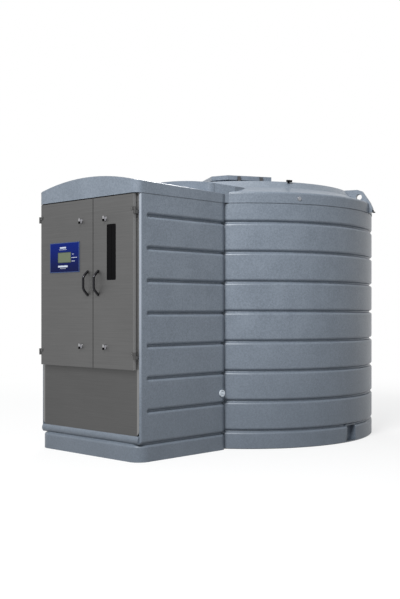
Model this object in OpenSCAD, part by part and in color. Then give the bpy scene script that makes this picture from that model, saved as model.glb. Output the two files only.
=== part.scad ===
// Exhaust fluid storage tank: a round ribbed plastic tank with a dispensing cabinet moulded to its front.
// Millimetres. Z is up, the cabinet doors face -Y, and the origin is the middle of the footprint.

/* [Tank body] */
// Outer radius of the round tank
tank_r = 1080; // [1000:10:1160]
// Height of the tank body up to the roof joint
body_h = 1810; // [1770:10:1900]
// Thickness of the round tank wall
tank_wall = 10; // [8:1:14]
// Thickness of the tank floor
floor_t = 12; // [10:1:16]
// Chamfer round the bottom edge of the tank floor
floor_chamfer = 6; // [2:1:8]
// Turns of wall on each side of the cabinet bay, one piece each
wall_pieces = 6; // [6:1:6]

/* [Grooves] */
// Number of horizontal grooves round the tank
groove_count = 8; // [7:1:8]
// Height from one groove to the next
groove_pitch = 220; // [205:5:225]
// Height of the lowest groove above the ground
base_band = 133; // [120:1:145]
// Depth of a groove
groove_depth = 20; // [14:1:22]
// Radius of the rounded lips of a groove
groove_lip_r = 18; // [15:1:20]
// Radius of the rounded floor of a groove
groove_floor_r = 8; // [6:1:10]
// How much lower the cabinet's grooves run than the tank's
cab_groove_drop = 12; // [0:1:20]

/* [Side recess] */
// Width of the recess in the base band at each side of the tank
recess_w = 120; // [90:5:150]
// Height of the recess
recess_h = 116; // [90:2:120]
// Depth of the recess behind the tank's outer face
recess_d = 45; // [30:1:60]

/* [Cabinet body] */
// How far the cabinet's front face stands out in front of the round tank
bay_reach = 660; // [620:10:720]
// Width of the cabinet at its front face
cab_front_w = 1066; // [1050:2:1100]
// Width of the cabinet where its sides turn in to the tank
cab_rear_w = 1180; // [1160:5:1210]
// Distance from the front face back to where the sides turn in
cab_side_l = 765; // [740:5:790]
// Thickness of the cabinet's double-skinned side walls
side_t = 34; // [31:1:40]
// Radius of the upright corners at the front of the side walls
front_corner_r = 14; // [12:1:18]
// Radius of the upright corners where the sides turn in to the tank
rear_corner_r = 60; // [54:1:70]
// Distance from the front face to the start of the side grooves
side_groove_start = 72; // [65:1:90]

/* [Cabinet base] */
// How far the plinth stands in front of the cabinet's front face
plinth_proud = 20; // [10:1:30]
// Radius of the plinth's front corners
plinth_corner_r = 95; // [80:1:110]
// Width of the ring on which the walls and floor stand
plinth_ring = 62; // [58:1:80]
// Height of the rounded sill above the plinth
sill_h = 54; // [48:1:60]
// How far the sill bulges in front of the cabinet's front face
sill_bulge = 14; // [8:1:18]
// Thickness of the cabinet's floor
cab_floor_t = 8; // [6:1:12]

/* [Roof] */
// Thickness of the roof mouldings
roof_t = 10; // [8:1:12]
// Height of the roof's skirt above the joint
skirt_h = 93; // [85:1:100]
// How far the skirt stands out from the tank wall
skirt_proud = 3; // [1:1:5]
// Radius of the round shoulder on top of the skirt
shoulder_r = 22; // [16:1:28]
// Width of the flat ledge between the tank's outside and the foot of the deck
ledge_w = 28; // [26:1:34]
// Width of the gentle slope from the deck's foot up to its knee
foot_slope_w = 116; // [106:2:126]
// Height of the knee above the joint
deck_knee_h = 140; // [130:1:146]
// Width of the steeper slope from the knee up to the deck's edge
knee_slope_w = 52; // [46:2:60]
// Height of the deck's edge above the joint
deck_h = 194; // [186:1:204]
// Extra height of the deck at its centre
deck_crown = 8; // [4:1:14]
// Width of the raised nose where it meets the deck's slope
nose_w = 1234; // [1200:2:1250]
// Width of the nose at its front
nose_front_w = 1090; // [1060:2:1110]
// Distance from the tank's outside in to the front of the nose
nose_inset = 28; // [20:1:50]
// Length of the nose's sides, in which it widens to the rear
nose_side_l = 190; // [170:2:200]
// Radius of the nose's front corners
nose_corner_r = 50; // [40:1:60]
// Radius of the nose's arched top
nose_arch_r = 3000; // [2800:20:3400]
// How far the top of the nose lies below the deck's edge
nose_drop = 1; // [1:0.5:4]
// Height of the cabinet roof's arch above the joint, at its crown
arch_h = 148; // [136:1:156]
// Radius of the cabinet roof's arch
arch_r = 2150; // [2000:10:2400]
// Flats in each half of the arch
arch_parts = 8; // [6:1:12]
// How far the cabinet roof stands out over the doors
fascia_proud = 36; // [32:1:40]
// Radius of the cabinet roof's front corners
fascia_corner_r = 60; // [50:1:70]
// Height of the shadow joint under the roof
joint_h = 4; // [3:1:6]
// Depth of the shadow joint
joint_d = 5; // [3:1:6]

/* [Manway] */
// Clear diameter of the manway's throat
manway_d = 380; // [340:5:390]
// Outer diameter of the manway's collar
collar_d = 412; // [404:2:420]
// Height of the collar above the crown of the deck
collar_h = 127; // [115:1:140]
// How far the manway lies to the left of the tank's centre
manway_left = 60; // [40:2:80]
// How far the manway lies in front of the tank's centre
manway_front = 53; // [40:1:70]
// Width of the flange at the foot of the collar
collar_flange = 28; // [20:1:29]
// Thickness of the collar's foot flange
collar_flange_t = 12; // [8:1:16]
// Length of the lid
lid_l = 494; // [480:2:520]
// Width of the lid
lid_w = 460; // [450:2:480]
// Height of the lid with its rim
lid_h = 36; // [32:1:44]
// Wall of the lid
lid_t = 8; // [6:1:10]
// Chamfer on two corners of the lid
lid_corner = 108; // [90:2:116]
// Turn of the lid's long side away from the cabinet's front
lid_turn = 58; // [50:1:64]
// Distance of the lid's hinge pin behind its far side
lid_pin_back = 18; // [18:1:24]
// Distance of each clip from the middle of the lid's near side
clip_off = 98; // [80:1:120]
// Width of a clip
clip_w = 26; // [20:1:32]
// Thickness of a clip
clip_t = 8; // [5:1:9]
// Depth of a clip's foot
clip_foot = 30; // [20:1:40]
// Height of a clip's foot above the deck's edge
clip_foot_h = 15; // [13:1:20]
// Gap between the lid and its clips
clip_clear = 8; // [7:1:12]
// Width of the lid's hinge knuckles
knuckle_w = 40; // [30:2:50]
// Width of the hinge's posts
post_t = 20; // [16:1:24]
// Thickness of the hinge's foot
hinge_foot_t = 18; // [17:1:24]
// Radius of the lid's hinge pin
lid_pin_r = 6; // [5:0.5:7]

/* [Lifting lugs] */
// Direction of the lugs, behind the tank's widest line
lug_angle = 20; // [16:1:26]
// Thickness of a lug
lug_t = 46; // [40:1:56]
// Radius of the hole through a lug
lug_hole_r = 24; // [20:1:26]
// Distance from the tank's outside in to the lug's hole
lug_hole_inset = 80; // [70:1:88]
// Height of the lug's hole above the joint
lug_hole_h = 139; // [134:1:144]
// How far the lugs reach out past the tank wall
lug_proud = 30; // [20:1:36]

/* [Roof screws and hooks] */
// Direction of the T-handled roof screws, in front of the tank's widest line
knob_angle = 28.4; // [20:0.2:36]
// Radius of a roof screw's stem and of its handle bar
knob_r = 8; // [6:0.5:9]
// Length of a roof screw's stem
knob_stem = 18; // [14:1:24]
// Length of a roof screw's handle bar
knob_bar_l = 44; // [36:1:50]
// Width of a roof hook
hook_w = 24; // [18:1:30]
// Thickness of a roof hook
hook_t = 6; // [4:1:8]
// Reach of a roof hook
hook_reach = 18; // [12:1:24]

/* [Front frame] */
// Half the width of the stainless front
front_half_w = 517; // [515:1:519]
// Thickness of the stainless sheet
sheet_t = 3; // [2:0.5:4]
// Depth of the folded edges of the frame
frame_d = 30; // [26:1:34]
// Width of the upright frame members
stile_w = 60; // [50:1:70]
// Height of the rails above and below the door opening
rail_h = 42; // [36:1:50]
// Height of the fixed lower panel's upper edge above the ground
panel_top = 615; // [600:1:630]
// Radius of the lower panel's bottom corners
panel_corner_r = 40; // [20:1:60]
// Width of the post behind the gap between the doors
post_w = 170; // [160:2:180]
// Width of the stiffening box down the back of the post
post_box_w = 80; // [60:2:90]

/* [Doors] */
// Half the width that the two doors cover
doors_half_w = 498; // [494:1:500]
// Sideways place of the gap between the doors
door_gap_x = 89; // [80:1:96]
// Gap between the two doors
door_gap = 6; // [5:0.5:8]
// How far the doors' outer faces stand in front of the frame
door_proud = 35; // [33:1:38]
// Gap between the frame and the doors' back edges
door_clear = 5.5; // [5:0.5:8]
// Height of the doors' lower edge above the lower panel
door_rise = 6; // [4:1:10]
// Gap between the doors and the roof
door_top_gap = 7; // [6:1:12]
// Thickness of a door's sheet
door_t = 2; // [1.5:0.5:3]
// Width of the return folded in at the back of a door
door_lip = 22; // [16:1:26]

/* [Hinges] */
// Radius of a hinge barrel
barrel_r = 8; // [7:0.5:9]
// Radius of a hinge pin
hinge_pin_r = 4; // [3.5:0.25:4.5]
// Clearance round a pin
pin_clear = 0.1; // [0.05:0.05:0.3]
// Height of a whole hinge
hinge_h = 46; // [40:1:60]
// Reach of a hinge leaf from the hinge's axis
leaf_w = 34; // [30:1:40]
// Thickness of a hinge leaf
leaf_t = 3; // [2:0.5:4]
// Width of the arm that holds a hinge off the frame
arm_w = 10; // [8:1:12]
// Gap between a hinge's two barrels
hinge_gap = 1; // [0.5:0.5:2]
// Height of the upper hinges above the ground
hinge_upper_z = 1692; // [1680:1:1700]
// Height of the lower hinges above the ground
hinge_lower_z = 716; // [700:1:730]
// Distance of the hinge axis outside the door's edge
hinge_out = 13; // [13:0.5:14]

/* [Handles and latches] */
// Distance of each handle from the gap between the doors
handle_off = 56; // [50:1:64]
// Height of the handles' middle
handle_z = 1212; // [1190:1:1230]
// Distance between the feet of a handle
handle_l = 176; // [160:2:200]
// Distance of a handle's grip in front of the door
handle_reach = 45; // [40:1:50]
// Radius of a handle's bar
handle_bar_r = 6.5; // [5:0.5:8]
// Radius of the bends of a handle
handle_bend_r = 24; // [20:1:28]
// Distance of the latches from the gap between the doors
latch_off = 128; // [124:1:132]
// Height of the upper latches above the ground
latch_upper_z = 1653; // [1640:1:1660]
// Height of the lower latches above the ground
latch_lower_z = 768; // [750:1:780]
// Radius of a latch's round rose
latch_rose_r = 17; // [14:1:20]
// Radius of a latch's shaft
latch_shaft_r = 6; // [5:0.5:7]
// Thickness of a latch's rose
latch_rose_t = 5; // [4:0.5:7]
// Width of a latch's wing
wing_w = 10; // [8:1:12]
// Height of a latch's wing in front of its rose
wing_h = 14; // [10:1:18]
// Width of a latch's cam
cam_w = 18; // [14:1:20]
// Thickness of a latch's cam
cam_t = 4; // [3:0.5:5]
// Gap between a latched cam and the post's sheet
cam_clear = 6; // [5.5:0.5:8]
// Reach of a latch's cam from its axis
cam_reach = 62; // [58:1:66]
// Length of a latch's wing
wing_l = 36; // [30:1:40]

/* [Door fittings] */
// Sideways place of the display plate's middle
plate_x = -222; // [-230:1:-214]
// Height of the display plate's middle
plate_z = 1403; // [1395:1:1412]
// Width of the display plate
plate_w = 330; // [310:2:350]
// Height of the display plate
plate_h = 216; // [200:2:226]
// Thickness of the display plate
plate_t = 4; // [3:0.5:6]
// Width of the display window
window_w = 150; // [130:2:160]
// Height of the display window
window_h = 76; // [64:2:86]
// Sideways place of the hose slot's middle
slot_x = 279; // [270:1:288]
// Height of the hose slot's middle
slot_z = 1421; // [1410:1:1430]
// Width of the hose slot
slot_w = 94; // [84:2:100]
// Height of the hose slot
slot_h = 384; // [360:2:400]
// How far the rubber curtain laps the door round the hose slot
curtain_lap = 14; // [10:1:18]
// Thickness of the rubber curtain
curtain_t = 4; // [3:0.5:6]
// Width of the curtain's slit
curtain_slit = 2; // [1:0.5:3]
// Radius of the hose slot's corners
slot_r = 10; // [6:1:20]
// Radius of the drain plug's ring
plug_r = 25; // [20:1:28]
// Depth of the drain plug's ring
plug_t = 9; // [7:1:12]
// Height of the drain plug above the ground
plug_z = 416; // [405:1:425]

/* [Hidden] */
$fn = 96;
SEAT = 0.3;           // gap left between curved faces that sit together
CUT = 1;              // how far a cutting shape runs past what it cuts
GROOVE_TIP = 0.4;     // depth of the small flat in a groove's round end
front_reach = door_proud + handle_reach + handle_bar_r;
tank_setback = tank_r + bay_reach;
nose_reach = tank_r - nose_inset;
lug_hole_reach = tank_r - lug_hole_inset;
front_y = (front_reach - tank_setback - tank_r - skirt_proud) / 2;
tank_y = front_y + tank_setback;
joint_z = body_h;
deck_z = joint_z + deck_h;
deck_foot_r = tank_r - ledge_w;
deck_knee_r = deck_foot_r - foot_slope_w;
deck_top_r = deck_knee_r - knee_slope_w;
collar_top = deck_z + deck_crown + collar_h;
splay = atan((cab_rear_w - cab_front_w) / 2 / cab_side_l);
groove_half_w = sqrt(2 * groove_depth * (groove_lip_r + groove_floor_r) - groove_depth * groove_depth);
cab_base_z = base_band - cab_groove_drop;
sill_top = cab_base_z + sill_h;
crease_x = cab_rear_w / 2 - rear_corner_r / 2;
crease_a = -acos(crease_x / tank_r);
wall_turn = (180 - 2 * crease_a) / wall_pieces;
lid_z = collar_top + SEAT + lid_t;
lid_pin_y = lid_w / 2 + lid_pin_back;
lid_pin_z = lid_z - 2 * lid_pin_r;
rear_corner_y = tank_y - tank_r * sin(-crease_a) - rear_corner_r * sqrt(3) / 2;
door_back_y = front_y - door_clear;
door_front_y = front_y - door_proud;
door_z0 = panel_top + door_rise;
door_z1 = joint_z - door_top_gap;
hinge_x = doors_half_w + hinge_out;
hinge_y = door_front_y + CUT;
barrel_h = (hinge_h - hinge_gap) / 2;
manway_y = tank_y - manway_front;
lid_side_mid = lid_corner / 2;
knuckle_x = lid_l / 4;
latch_x_left = door_gap_x - latch_off;
latch_x_right = door_gap_x + latch_off;

PLASTIC = "#6e7986";
STAINLESS = "#8a8a88";
DARK = "#1c1d20";

// shared shapes

// Cross-section of one groove, cut inward from x = 0. A positive grow gives the wall behind it.
module groove_shape(grow = 0) {
    lip = [-groove_lip_r, groove_half_w];
    floor_c = [groove_floor_r - groove_depth, 0];
    share = (groove_lip_r - grow) / (groove_lip_r + groove_floor_r);
    meet = lip + (floor_c - lip) * share;
    difference() {
        polygon([[CUT - grow, lip[1]], lip, meet, [meet[0], -meet[1]], [lip[0], -lip[1]], [CUT - grow, -lip[1]]]);
        for (side = [-1, 1])
            translate([lip[0], side * lip[1]])
                circle(r = groove_lip_r - grow);
    }
    translate(floor_c)
        circle(r = groove_floor_r + grow);
}

function groove_z(i) = base_band + i * groove_pitch;

// Half section of the round wall, with its grooves. A positive grow gives its inner face.
module wall_fill(grow = 0) {
    difference() {
        translate([0, floor_t])
            square([tank_r - grow, body_h - floor_t]);
        for (i = [0 : groove_count - 1])
            translate([tank_r, groove_z(i)])
                groove_shape(grow);
    }
}

// One piece of the grooved round wall, from angle a0 and turned through wall_turn
module wall_piece(a0) {
    translate([0, tank_y, 0])
        rotate([0, 0, a0])
            rotate_extrude(angle = wall_turn, $fn = 192)
                difference() {
                    wall_fill();
                    wall_fill(tank_wall);
                    square([tank_r / 2, body_h]);
                }
}

// Upright pocket wall or pocket space in the base band, on the tank's widest line
module recess_block(grow) {
    translate([tank_r - recess_d - grow, tank_y - recess_w / 2 - grow, floor_t])
        cube([recess_d + (grow > 0 ? 0 : CUT), recess_w + 2 * grow, recess_h + grow]);
}

// One piece of wall with the recess let into it
module wall_piece_with_recess(a0) {
    difference() {
        union() {
            wall_piece(a0);
            intersection() {
                recess_block(tank_wall);
                translate([0, tank_y, 0])
                    cylinder(r = tank_r - groove_depth / 2, h = body_h);
            }
        }
        recess_block(0);
    }
}

module mirrored() {
    mirror([1, 0, 0])
        children();
}

// A copy on the tank's right and one on its left, turned back by an angle from the widest line
module both_sides(angle) {
    for (side = [0, 1])
        mirror([side, 0, 0])
            translate([0, tank_y, 0])
                rotate([0, 0, angle])
                    children();
}

// Half the cabinet's width at a depth behind its front face
function half_w(depth) = cab_front_w / 2 + depth * tan(splay);

// Plan of the cabinet: splayed sides, round corners, and a rear that stops short of the round tank
module cabinet_plan(proud, corner_r, grow = 0, tank_gap = SEAT) {
    front = front_y - proud;
    corner = [half_w(corner_r - proud) + (grow - corner_r) / cos(splay), front + corner_r];
    out = [cos(splay), -sin(splay)];
    half = [
        [corner[0], front],
        corner + corner_r * out,
        rear_corner + (rear_corner_r + grow) * out,
        rear_corner,
        [rear_corner[0], tank_y - tank_r * 0.7]
    ];
    difference() {
        union() {
            polygon(concat(half, [for (i = [len(half) - 1 : -1 : 0]) [-half[i][0], half[i][1]]]));
            for (side = [-1, 1]) {
                translate([side * corner[0], corner[1]])
                    circle(r = corner_r);
                translate([side * rear_corner[0], rear_corner[1]])
                    circle(r = rear_corner_r + grow);
            }
        }
        translate([0, tank_y])
            circle(r = tank_r + tank_gap, $fn = 192);
    }
}

// Plan of the space inside the cabinet's walls, run past the front and into the tank
module cabinet_space(inset, start) {
    depth0 = start - front_y;
    depth1 = tank_y - front_y;
    polygon([
        [-half_w(depth0) + inset, start],
        [half_w(depth0) - inset, start],
        [half_w(depth1) - inset, front_y + depth1],
        [-half_w(depth1) + inset, front_y + depth1]
    ]);
}

// Centre of the plinth's round front corner on the right
plinth_corner = [half_w(plinth_corner_r - plinth_proud) - plinth_corner_r / cos(splay), front_y - plinth_proud + plinth_corner_r];

// Centre of the round corner where the right-hand side turns in to the tank
rear_corner = [half_w(rear_corner_y - front_y) - rear_corner_r / cos(splay), rear_corner_y];

// One straight groove from a point, running back along a side that leans out by an angle
module groove_run(start, lean, length) {
    translate([start[0], start[1], 0])
        rotate([0, 0, -lean])
            rotate([-90, 0, 0])
                linear_extrude(length)
                    groove_shape();
}

// One groove round an upright corner
module groove_turn(centre, r, from, sweep) {
    translate([centre[0], centre[1], 0])
        rotate([0, 0, from])
            rotate_extrude(angle = sweep, $fn = 96)
                translate([r, 0])
                    groove_shape();
}

// Round end of a groove in a side that leans out by an angle
module groove_end(start, lean) {
    translate([start[0], start[1], 0])
        rotate([0, 90, -lean])
            rotate([0, 0, 180])
                rotate_extrude(angle = 180, $fn = 48)
                    intersection() {
                        rotate(90)
                            groove_shape();
                        translate([0, GROOVE_TIP - groove_depth])
                            square([3 * groove_lip_r, 2 * groove_depth]);
                    }
}

// The grooves of the right-hand cabinet side above its lowest one
module side_grooves() {
    start = [half_w(side_groove_start), front_y + side_groove_start];
    for (i = [1 : groove_count - 1])
        translate([0, 0, groove_z(i) - cab_groove_drop]) {
            groove_run(start, splay, (rear_corner_y - start[1]) / cos(splay));
            groove_turn(rear_corner, rear_corner_r, -splay, 100);
            groove_end(start, splay);
        }
}

// The lowest groove, at the top of the plinth, runs round the cabinet. This is its straight stretch along a side,
// from a distance behind the front face.
module base_groove_side(depth) {
    start = [half_w(depth), front_y + depth];
    translate([0, 0, cab_base_z])
        groove_run(start, splay, (rear_corner_y - start[1]) / cos(splay));
}

// The lowest groove where the right-hand side turns in to the tank
module base_groove_rear() {
    translate([0, 0, cab_base_z])
        groove_turn(rear_corner, rear_corner_r, -splay, 100);
}

// The lowest groove along the front
module base_groove_front() {
    translate([0, 0, cab_base_z])
        groove_run([-plinth_corner[0], front_y - plinth_proud], 90, 2 * plinth_corner[0]);
}

// The lowest groove round the right-hand front corner
module base_groove_corner() {
    translate([0, 0, cab_base_z])
        groove_turn(plinth_corner, plinth_corner_r, -90, 94 - splay);
}

// tank

module tank_floor() {
    color(PLASTIC)
        translate([0, tank_y, 0])
            rotate_extrude($fn = 192)
                polygon([
                    [0, 0],
                    [tank_r - floor_chamfer, 0],
                    [tank_r, floor_chamfer],
                    [tank_r, floor_t],
                    [0, floor_t]
                ]);
}

module tank_wall_front() {
    color(PLASTIC)
        translate([0, tank_y, floor_t])
            rotate([0, 0, 180 - crease_a])
                rotate_extrude(angle = 180 + 2 * crease_a, $fn = 192)
                    translate([tank_r - tank_wall, 0])
                        square([tank_wall, body_h - floor_t]);
}

module tank_wall_right_front() {
    color(PLASTIC)
        wall_piece(crease_a);
}

module tank_wall_right() {
    color(PLASTIC)
        wall_piece_with_recess(crease_a + wall_turn);
}

module tank_wall_right_rear() {
    color(PLASTIC)
        wall_piece(crease_a + 2 * wall_turn);
}

module tank_wall_left_rear() {
    mirrored()
        tank_wall_right_rear();
}

module tank_wall_left() {
    mirrored()
        tank_wall_right();
}

module tank_wall_left_front() {
    mirrored()
        tank_wall_right_front();
}

// roof

// Half section under the round roof's outer face
module roof_section() {
    skirt_r = tank_r + skirt_proud;
    polygon([
        [0, joint_z],
        [skirt_r, joint_z],
        [skirt_r, joint_z + skirt_h - shoulder_r],
        [skirt_r - shoulder_r, joint_z + skirt_h],
        [deck_foot_r, joint_z + skirt_h - joint_d],
        [deck_knee_r, joint_z + deck_knee_h],
        [deck_top_r, deck_z],
        [0, deck_z + deck_crown]
    ]);
    translate([skirt_r - shoulder_r, joint_z + skirt_h - shoulder_r])
        circle(r = shoulder_r);
}

// Solid under the round roof, moved out and up by an amount, or in and down if it is negative
module round_roof(grow) {
    translate([0, tank_y, 0])
        rotate_extrude($fn = 192)
            intersection() {
                translate([grow, grow])
                    roof_section();
                square([tank_r * 2, deck_z * 2]);
            }
}

// Arched block that runs back from y0: its top is the arch, in flats, and it lies over the whole width
module arch_block(crown_z, r, edge_x, y0, l) {
    edge = asin(edge_x / r);
    translate([0, y0 + l, 0])
        rotate([90, 0, 0])
            linear_extrude(l)
                polygon(concat(
                    [[-tank_r, 0], [tank_r, 0]],
                    [for (i = [arch_parts : -1 : -arch_parts])
                        let (a = edge * i / arch_parts)
                        [r * sin(a), crown_z - r + r * cos(a)]]
                ));
}

// Plan of the nose: it widens to the rear from its round front corners
module nose_plan(inset) {
    front = tank_y - nose_reach;
    x = nose_front_w / 2 - nose_corner_r;
    r = nose_corner_r - inset;
    wide = nose_w / 2 - inset;
    rear = tank_y - nose_reach / 2;
    polygon([
        [-x, front + inset],
        [x, front + inset],
        [x + r, front + nose_corner_r],
        [wide, front + nose_side_l],
        [wide, rear],
        [-wide, rear],
        [-wide, front + nose_side_l],
        [-x - r, front + nose_corner_r]
    ]);
    for (side = [-1, 1])
        translate([side * x, front + nose_corner_r])
            circle(r = r);
}

// Solid under the whole roof moulding: the round roof and the nose over the cabinet
module roof_solid(inset = 0) {
    round_roof(-inset);
    intersection() {
        translate([0, 0, joint_z - inset])
            linear_extrude(deck_h + inset)
                nose_plan(inset);
        arch_block(deck_z - nose_drop - inset, nose_arch_r - inset, nose_w / 2, tank_y - tank_r, tank_r);
    }
}

// Solid under the cabinet roof: its plan cut off by the arch
module arch_solid(inset, tank_gap) {
    intersection() {
        translate([0, 0, joint_z - (inset > 0 ? CUT : 0)])
            linear_extrude(arch_h * 2)
                cabinet_plan(fascia_proud - inset, fascia_corner_r - inset, skirt_proud - inset, tank_gap);
        arch_block(joint_z + arch_h - inset, arch_r - inset, cab_rear_w / 2 + fascia_proud, front_y - tank_setback, tank_setback * 2);
    }
}

module roof_cover() {
    color(PLASTIC)
        difference() {
            roof_solid();
            roof_solid(roof_t);
            at_manway()
                cylinder(r = manway_d / 2, h = collar_top);
            translate([0, tank_y, joint_z - CUT])
                difference() {
                    cylinder(r = tank_r * 2, h = joint_h + CUT);
                    cylinder(r = tank_r - joint_d, h = joint_h + CUT, $fn = 192);
                }
            translate([0, 0, SEAT])
                arch_solid(0, skirt_proud - CUT);
        }
}

module cabinet_roof() {
    color(PLASTIC)
        difference() {
            arch_solid(0, skirt_proud + SEAT);
            arch_solid(roof_t, -roof_t);
        }
}

// A lug's outline in the upright plane that runs out from the tank's centre
module lug_outline() {
    tip = tank_r + lug_proud;
    top = deck_z + deck_crown / 2;
    polygon([
        [deck_top_r - 60, top],
        [tank_r - 92, top],
        [tank_r - 52, top - 14],
        [tank_r + 10, joint_z + skirt_h - 2],
        [tip, joint_z + skirt_h / 2],
        [tip, joint_z + joint_h + 8],
        [tank_r - shoulder_r, joint_z + joint_h],
        [deck_top_r - 60, joint_z + joint_h]
    ]);
}

module lifting_lug_right() {
    color(PLASTIC)
        difference() {
            translate([0, tank_y, 0])
                rotate([90, 0, lug_angle])
                    translate([0, 0, -lug_t / 2])
                        linear_extrude(lug_t)
                            lug_outline();
            round_roof(SEAT);
            translate([0, tank_y, joint_z + lug_hole_h])
                rotate([90, 0, lug_angle])
                    translate([lug_hole_reach, 0, -lug_t])
                        cylinder(r = lug_hole_r, h = lug_t * 2);
        }
}

module lifting_lug_left() {
    mirrored()
        lifting_lug_right();
}

// T-handled screws near the deck's edge that hold the roof moulding down
module roof_knobs() {
    share = 0.15;
    slope = atan2(deck_h - deck_knee_h, knee_slope_w);
    color(DARK)
        both_sides(-knob_angle)
            translate([deck_top_r + share * knee_slope_w, 0, deck_z - share * (deck_h - deck_knee_h)])
                rotate([0, 90 - slope, 0])
                    translate([0, 0, SEAT]) {
                        cylinder(r = knob_r, h = knob_stem);
                        translate([0, knob_bar_l / 2, knob_stem])
                            rotate([90, 0, 0])
                                cylinder(r = knob_r, h = knob_bar_l);
                    }
}

// Rubber hooks that hang from the lugs over the roof joint
module roof_hooks() {
    color(DARK)
        both_sides(lug_angle)
            translate([tank_r + lug_proud, -hook_w / 2, joint_z + 2 * joint_h]) {
                cube([hook_t, hook_w, hook_w]);
                cube([hook_reach, hook_w, hook_t + 2]);
            }
}

// manway

module at_manway() {
    translate([-manway_left, manway_y, 0])
        rotate([0, 0, lid_turn])
            children();
}

module manway_collar() {
    color(PLASTIC)
        difference() {
            at_manway()
                translate([0, 0, deck_z - CUT]) {
                    cylinder(r = collar_d / 2, h = collar_top - deck_z + CUT);
                    cylinder(r = collar_d / 2 + collar_flange, h = deck_crown + collar_flange_t + CUT);
                }
            at_manway()
                cylinder(r = manway_d / 2, h = collar_top * 2);
            round_roof(SEAT);
        }
}

// Plan of the lid: a rectangle with two corners cut off, hinged along its far side
module lid_plan(inset = 0) {
    l = lid_l / 2 - inset;
    w = lid_w / 2 - inset;
    c = lid_corner - inset * (2 - sqrt(2));
    polygon([[-l, w], [-l, -w + c], [-l + c, -w], [l, -w], [l, w]]);
}

module manway_lid() {
    color(PLASTIC)
        at_manway()
            difference() {
                union() {
                    translate([0, 0, lid_z - lid_h])
                        linear_extrude(lid_h)
                            lid_plan();
                    for (x = [-knuckle_x, knuckle_x])
                        translate([x - knuckle_w / 2, 0, lid_pin_z]) {
                            translate([0, lid_pin_y, 0])
                                rotate([0, 90, 0])
                                    cylinder(r = lid_pin_r * 2, h = knuckle_w);
                            translate([0, lid_w / 2 - CUT, 0])
                                cube([knuckle_w, lid_pin_back + CUT, lid_pin_r * 2]);
                        }
                }
                translate([0, 0, lid_z - lid_h - CUT])
                    linear_extrude(lid_h - lid_t + CUT)
                        lid_plan(lid_t);
                translate([-lid_l, lid_pin_y, lid_pin_z])
                    rotate([0, 90, 0])
                        cylinder(r = lid_pin_r + pin_clear, h = lid_l * 2);
            }
}

// Bracket on the deck that carries the lid's pin between two pairs of posts
module manway_hinge() {
    foot_z = deck_z - CUT;
    post_off = knuckle_w / 2 + CUT;
    half_l = knuckle_x + post_off + post_t;
    color(PLASTIC)
        difference() {
            at_manway() {
                translate([-half_l, lid_pin_y, lid_pin_z])
                    rotate([0, 90, 0])
                        cylinder(r = lid_pin_r, h = 2 * half_l);
                for (knuckle = [-knuckle_x, knuckle_x], x = [-post_off - post_t, post_off])
                    translate([knuckle + x, lid_pin_y, 0]) {
                        translate([0, 0, lid_pin_z])
                            rotate([0, 90, 0])
                                cylinder(r = lid_pin_r * 2, h = post_t);
                        translate([0, -lid_pin_r * 2, foot_z])
                            cube([post_t, lid_pin_r * 4, lid_pin_z - foot_z]);
                    }
                translate([-half_l, lid_pin_y - lid_pin_r * 2, foot_z])
                    cube([2 * half_l, lid_pin_r * 4, hinge_foot_t]);
            }
            round_roof(SEAT);
        }
}

// Clips on the deck beside the lid's near side
module manway_clips() {
    color(STAINLESS)
        difference() {
            at_manway()
                for (x = [lid_side_mid - clip_off, lid_side_mid + clip_off])
                    translate([x - clip_w / 2, -lid_w / 2 - clip_clear - clip_t, deck_z - CUT]) {
                        cube([clip_w, clip_t, lid_z - deck_z - lid_pin_r]);
                        translate([-clip_t, -clip_foot, 0])
                            cube([clip_w + 2 * clip_t, clip_foot + clip_t, clip_foot_h + CUT]);
                    }
            round_roof(SEAT);
        }
}

// cabinet body

// Ring on which the cabinet's walls and floor stand, before its groove is cut
module plinth_ring() {
    linear_extrude(cab_base_z)
        difference() {
            cabinet_plan(plinth_proud, plinth_corner_r);
            cabinet_space(plinth_ring, front_y + plinth_ring - plinth_proud);
        }
}

// Everything in front of the planes in which the plinth's round front corners end
module plinth_front_zone() {
    out = [cos(splay), -sin(splay)];
    far = plinth_corner + tank_r * out;
    near = plinth_corner - plinth_corner_r * out;
    linear_extrude(cab_base_z)
        polygon([
            [-far[0], front_y - tank_r],
            [far[0], front_y - tank_r],
            far,
            near,
            [-near[0], near[1]],
            [-far[0], far[1]]
        ]);
}

module plinth_front() {
    color(PLASTIC)
        difference() {
            difference() {
                intersection() {
                    plinth_ring();
                    plinth_front_zone();
                }
                base_groove_front();
            }
            base_groove_corner();
            mirrored()
                base_groove_corner();
        }
}

module plinth_right() {
    color(PLASTIC)
        difference() {
            difference() {
                difference() {
                    plinth_ring();
                    plinth_front_zone();
                    translate([-tank_r, front_y - tank_r, 0])
                        cube([tank_r, tank_r * 2, cab_base_z]);
                }
                base_groove_side(0);
            }
            base_groove_rear();
        }
}

module plinth_left() {
    mirrored()
        plinth_right();
}

// Rounded plastic band under the lower panel
module cabinet_sill() {
    sill_r = (sill_h * sill_h / 4 + sill_bulge * sill_bulge) / (2 * sill_bulge);
    color(PLASTIC)
        translate([-front_half_w + SEAT, 0, 0])
            rotate([90, 0, 90])
                linear_extrude(2 * (front_half_w - SEAT))
                    intersection() {
                        translate([front_y - sill_bulge + sill_r, cab_base_z + sill_h / 2])
                            circle(r = sill_r);
                        translate([front_y - sill_bulge - CUT, cab_base_z])
                            square([sill_bulge + CUT + frame_d, sill_h]);
                    }
}

module cabinet_floor() {
    color(PLASTIC)
        translate([0, 0, cab_base_z])
            linear_extrude(cab_floor_t)
                difference() {
                    cabinet_space(side_t + SEAT, front_y + frame_d + SEAT);
                    translate([0, tank_y])
                        circle(r = tank_r + SEAT, $fn = 192);
                }
}

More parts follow.
